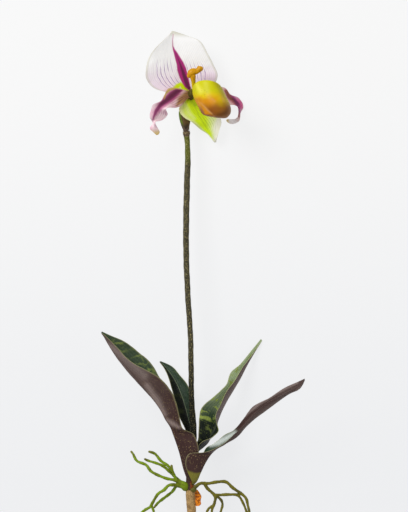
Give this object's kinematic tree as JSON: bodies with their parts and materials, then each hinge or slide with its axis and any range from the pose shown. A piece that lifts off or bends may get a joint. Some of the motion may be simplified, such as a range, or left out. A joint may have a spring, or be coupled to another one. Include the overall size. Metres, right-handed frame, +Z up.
{
  "type": "slipper orchid spray",
  "caption": "Slipper orchid spray lying on its back: one pouched flower on a long stalk, strap leaves, branching roots and a cut lower stem.",
  "frame": {"origin": "middle of the lying plant's footprint, on the surface it lies on", "axes": "+Y along the plant from the cut lower stem to the flower's top, +Z up, the way the flower and the backs of the two front leaves are seen from, +X to the plant's right in that view"},
  "size_m": [0.203, 0.5214, 0.0842],
  "materials": {
    "wrapped_stem": "tan paper tape wound round the stem, matt",
    "crown_core": "dark purple-brown with an orange-brown patch",
    "flower_stalk": "dark olive-brown, speckled and flocked",
    "ovary_green": "olive green, turning lime under the flower",
    "bract_green": "green edges with a dark brown middle",
    "sepal_white": "white and pale pink with a magenta wedge along the midrib and fine purple veins",
    "sepal_lime": "lime green with darker veins and a cream edge and tip",
    "petal_left_pink": "dusty pink with a maroon band along the rib and an olive base",
    "petal_right_crimson": "crimson and maroon with a pale yellowish tip",
    "pouch_amber": "glossy, lemon at the top through amber to brown at the toe",
    "column_gold": "golden ochre, satin",
    "leaf_purple_back": "purple-brown speckled back, barred green upper side",
    "leaf_dark": "very dark green, satin",
    "leaf_mottled": "dark green with yellow-green cross bars, mauve-grey back",
    "leaf_barred": "purple-brown speckled back, pale green upper side, yellow edge line",
    "root_bright": "bright green, satin",
    "root_olive": "olive green, satin",
    "scrap_orange": "orange crumpled paper with a red-brown spot"
  },
  "bodies": {
    "root": {"lower_stem": "wrapped_stem", "crown": "crown_core", "scape": "flower_stalk", "ovary": "ovary_green", "bract": "bract_green", "dorsal_sepal": "sepal_white", "synsepal": "sepal_lime", "petal_left": "petal_left_pink", "petal_right": "petal_right_crimson", "pouch": "pouch_amber", "column": "column_gold", "leaf_front_left": "leaf_purple_back", "leaf_back_left": "leaf_dark", "leaf_back_right": "leaf_mottled", "leaf_front_right": "leaf_barred", "roots_left": "root_bright", "roots_right": "root_olive", "paper_scrap": "scrap_orange"}
  },
  "joints": []
}
